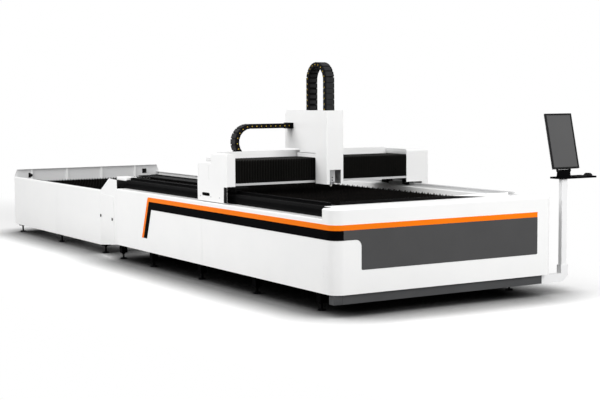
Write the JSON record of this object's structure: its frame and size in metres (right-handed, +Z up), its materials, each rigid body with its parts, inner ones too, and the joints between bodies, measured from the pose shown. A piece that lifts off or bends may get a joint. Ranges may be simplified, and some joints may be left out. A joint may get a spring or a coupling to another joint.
{
  "type": "laser cutting machine",
  "caption": "Flat-bed fiber laser cutting machine with a moving gantry, cutting head, shuttle pallet table behind the bed and an operator stand at the front corner.",
  "frame": {"origin": "centre of the footprint box on the floor, under the levelling feet", "axes": "+X along the machine to the front end with the sign panel, +Y to the far side with the operator stand, +Z up"},
  "size_m": [8.68, 3.18, 2.284],
  "materials": {
    "white_paint": "satin white paint",
    "grey_paint": "satin grey paint",
    "dark_paint": "satin dark paint",
    "orange_paint": "satin orange paint",
    "black_paint": "satin black paint",
    "bright_steel": "ground steel",
    "dark_steel": "mill-scale steel",
    "cast_metal": "machined casting",
    "head_metal": "anodised",
    "nozzle_metal": "turned",
    "bellows_cloth": "coated cloth",
    "chain_plastic": "moulded",
    "black_plastic": "moulded",
    "screen": "switched-off display"
  },
  "bodies": {
    "machine_frame": {"side_panel_near": "white_paint", "side_panel_far": "white_paint", "front_hood": "white_paint", "transition_panel_near": "white_paint", "transition_panel_far": "white_paint", "access_door": "white_paint", "exchange_panels": "white_paint", "exchange_rear_wall": "white_paint", "rail_guards": "white_paint", "stand_post": "white_paint", "bed_girders": "grey_paint", "bed_cross_beams": "grey_paint", "leg_blocks": "grey_paint", "exchange_beams": "grey_paint", "sign_panel": "grey_paint", "stand_arm": "grey_paint", "rail_seats": "dark_paint", "exchange_gear_motor": "dark_paint", "pallet_tracks": "dark_paint", "stripe_orange": "orange_paint", "stripe_black": "black_paint", "keyboard_tray": "black_paint", "monitor_bracket": "black_paint", "rails_and_racks": "bright_steel", "levelling_feet": "bright_steel", "exchange_pallet_rollers": "bright_steel", "exchange_pallet_frame": "dark_steel", "exchange_pallet_slats": "dark_steel", "drive_chains": "dark_steel", "scrap_floor": "dark_steel", "shaft_bearings": "dark_steel", "keyboard_mouse": "black_plastic"},
    "gantry": {"cross_beam": "grey_paint", "chain_trough": "white_paint", "end_cover_near": "white_paint", "end_cover_far": "white_paint", "gantry_trucks": "bright_steel", "gantry_drives": "dark_paint", "cross_rails": "bright_steel", "bellows_near": "bellows_cloth", "bellows_far": "bellows_cloth", "cross_chain": "chain_plastic"},
    "carriage": {"carriage_casting": "cast_metal", "head_housing": "white_paint", "head_chain": "chain_plastic"},
    "cutting_head": {"cutting_head": "head_metal", "nozzle": "nozzle_metal"},
    "bed_pallet": {"bed_pallet_frame": "dark_steel", "bed_pallet_slats": "dark_steel"},
    "pallet_rollers_1": {"bed_pallet_rollers_1": "bright_steel"},
    "pallet_rollers_2": {"bed_pallet_rollers_2": "bright_steel"},
    "pallet_rollers_3": {"bed_pallet_rollers_3": "bright_steel"},
    "drive_shaft": {"drive_shaft": "bright_steel"},
    "idler_shaft": {"idler_shaft": "bright_steel"},
    "drive_pinion_near": {"drive_pinion_near": "bright_steel"},
    "drive_pinion_far": {"drive_pinion_far": "bright_steel"},
    "door_latch_front": {"door_latch_front": "black_plastic"},
    "door_latch_rear": {"door_latch_rear": "black_plastic"},
    "monitor": {"monitor_shell": "black_plastic", "monitor_screen": "screen"}
  },
  "joints": [
    {"name": "gantry_travel", "type": "slide", "parent": "machine_frame", "child": "gantry", "axis": [1, 0, 0], "range_m": [-1.75, 1.35]},
    {"name": "carriage_travel", "type": "slide", "parent": "gantry", "child": "carriage", "axis": [0, 1, 0], "range_m": [-0.69, 0.86], "deforming": ["bellows_near", "bellows_far", "cross_chain"]},
    {"name": "head_lift", "type": "slide", "parent": "carriage", "child": "cutting_head", "axis": [0, 0, 1], "range_m": [-0.045, 0.085], "deforming": ["head_chain"]},
    {"name": "pallet_travel", "type": "slide", "parent": "machine_frame", "child": "bed_pallet", "axis": [1, 0, 0], "range_m": [-5.058, 0]},
    {"name": "roller_spin_1", "type": "hinge", "parent": "bed_pallet", "child": "pallet_rollers_1", "pos_m": [3.6, -0.325, 0.775], "axis": [0, 1, 0], "continuous": true},
    {"name": "roller_spin_2", "type": "hinge", "parent": "bed_pallet", "child": "pallet_rollers_2", "pos_m": [2.3, -0.325, 0.775], "axis": [0, 1, 0], "continuous": true},
    {"name": "roller_spin_3", "type": "hinge", "parent": "bed_pallet", "child": "pallet_rollers_3", "pos_m": [1, -0.325, 0.775], "axis": [0, 1, 0], "continuous": true},
    {"name": "drive_shaft_spin", "type": "hinge", "parent": "machine_frame", "child": "drive_shaft", "pos_m": [-4.13, -0.325, 0.38], "axis": [0, 1, 0], "continuous": true},
    {"name": "idler_shaft_spin", "type": "hinge", "parent": "machine_frame", "child": "idler_shaft", "pos_m": [-1.31, -0.325, 0.38], "axis": [0, 1, 0], "continuous": true},
    {"name": "pinion_spin_near", "type": "hinge", "parent": "gantry", "child": "drive_pinion_near", "pos_m": [2.17, -1.51, 0.9075], "axis": [0, 0, 1], "continuous": true},
    {"name": "pinion_spin_far", "type": "hinge", "parent": "gantry", "child": "drive_pinion_far", "pos_m": [2.17, 0.86, 0.9075], "axis": [0, 0, 1], "continuous": true},
    {"name": "latch_turn_front", "type": "hinge", "parent": "machine_frame", "child": "door_latch_front", "pos_m": [-0.57025, -1.55675, 0.482], "axis": [-0.1501, -0.9887, 0], "range_deg": [0, 90]},
    {"name": "latch_turn_rear", "type": "hinge", "parent": "machine_frame", "child": "door_latch_rear", "pos_m": [-1.12018, -1.47326, 0.482], "axis": [-0.1501, -0.9887, 0], "range_deg": [0, 90]},
    {"name": "monitor_tilt", "type": "hinge", "parent": "machine_frame", "child": "monitor", "pos_m": [4.165, 1.237, 1.186], "axis": [0, 1, 0], "range_deg": [-10, 20]}
  ],
  "couplings": [
    {"joint": "roller_spin_1", "follows": "pallet_travel", "rad_per_m": 28.571},
    {"joint": "roller_spin_2", "follows": "pallet_travel", "rad_per_m": 28.571},
    {"joint": "roller_spin_3", "follows": "pallet_travel", "rad_per_m": 28.571},
    {"joint": "drive_shaft_spin", "follows": "pallet_travel", "rad_per_m": 16.4},
    {"joint": "idler_shaft_spin", "follows": "pallet_travel", "rad_per_m": 16.4},
    {"joint": "pinion_spin_near", "follows": "gantry_travel", "rad_per_m": 40},
    {"joint": "pinion_spin_far", "follows": "gantry_travel", "rad_per_m": -40}
  ]
}
